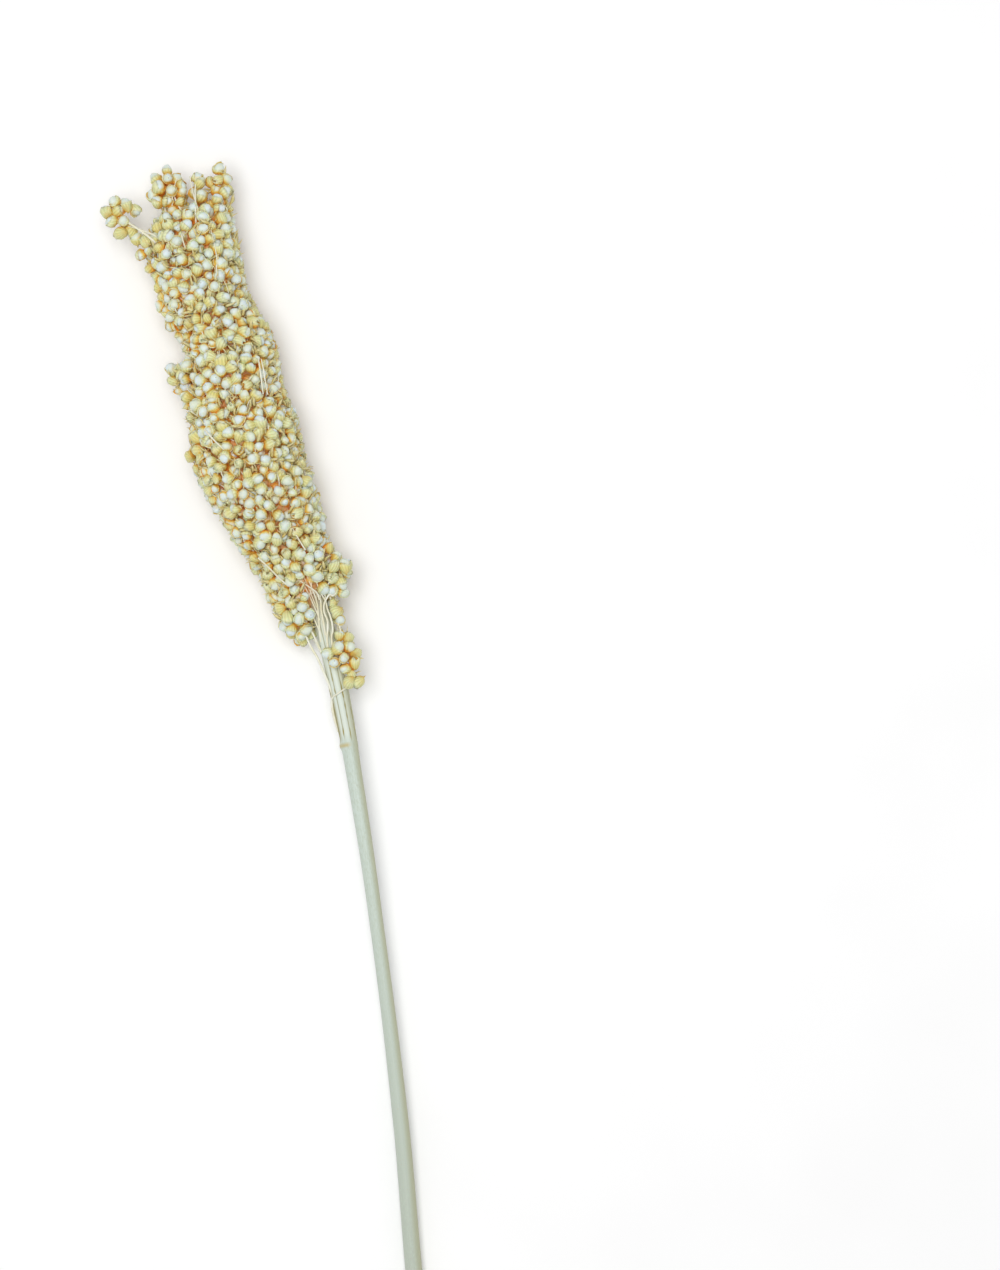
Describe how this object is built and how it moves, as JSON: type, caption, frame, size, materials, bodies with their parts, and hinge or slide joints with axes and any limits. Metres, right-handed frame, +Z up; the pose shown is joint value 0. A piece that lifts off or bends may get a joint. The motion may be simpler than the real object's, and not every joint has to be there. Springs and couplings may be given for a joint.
{
  "type": "sorghum seed head",
  "caption": "Dried sorghum seed head on its cut stem, lying down: a long dense spike of round grains, with loose sprays at its tip, side and neck.",
  "frame": {"origin": "on the surface that the plant lies on, under the middle of the whole plant", "axes": "+Y from the stem's cut end towards the tip of the head, +Z up from the surface, +X to the right seen from above with the tip up"},
  "size_m": [0.0657, 0.4521, 0.0395],
  "materials": {
    "bleached_straw": "satin",
    "ivory_grain": "satin"
  },
  "bodies": {
    "root": {"stem": "bleached_straw", "seed_head": "ivory_grain"}
  },
  "joints": []
}
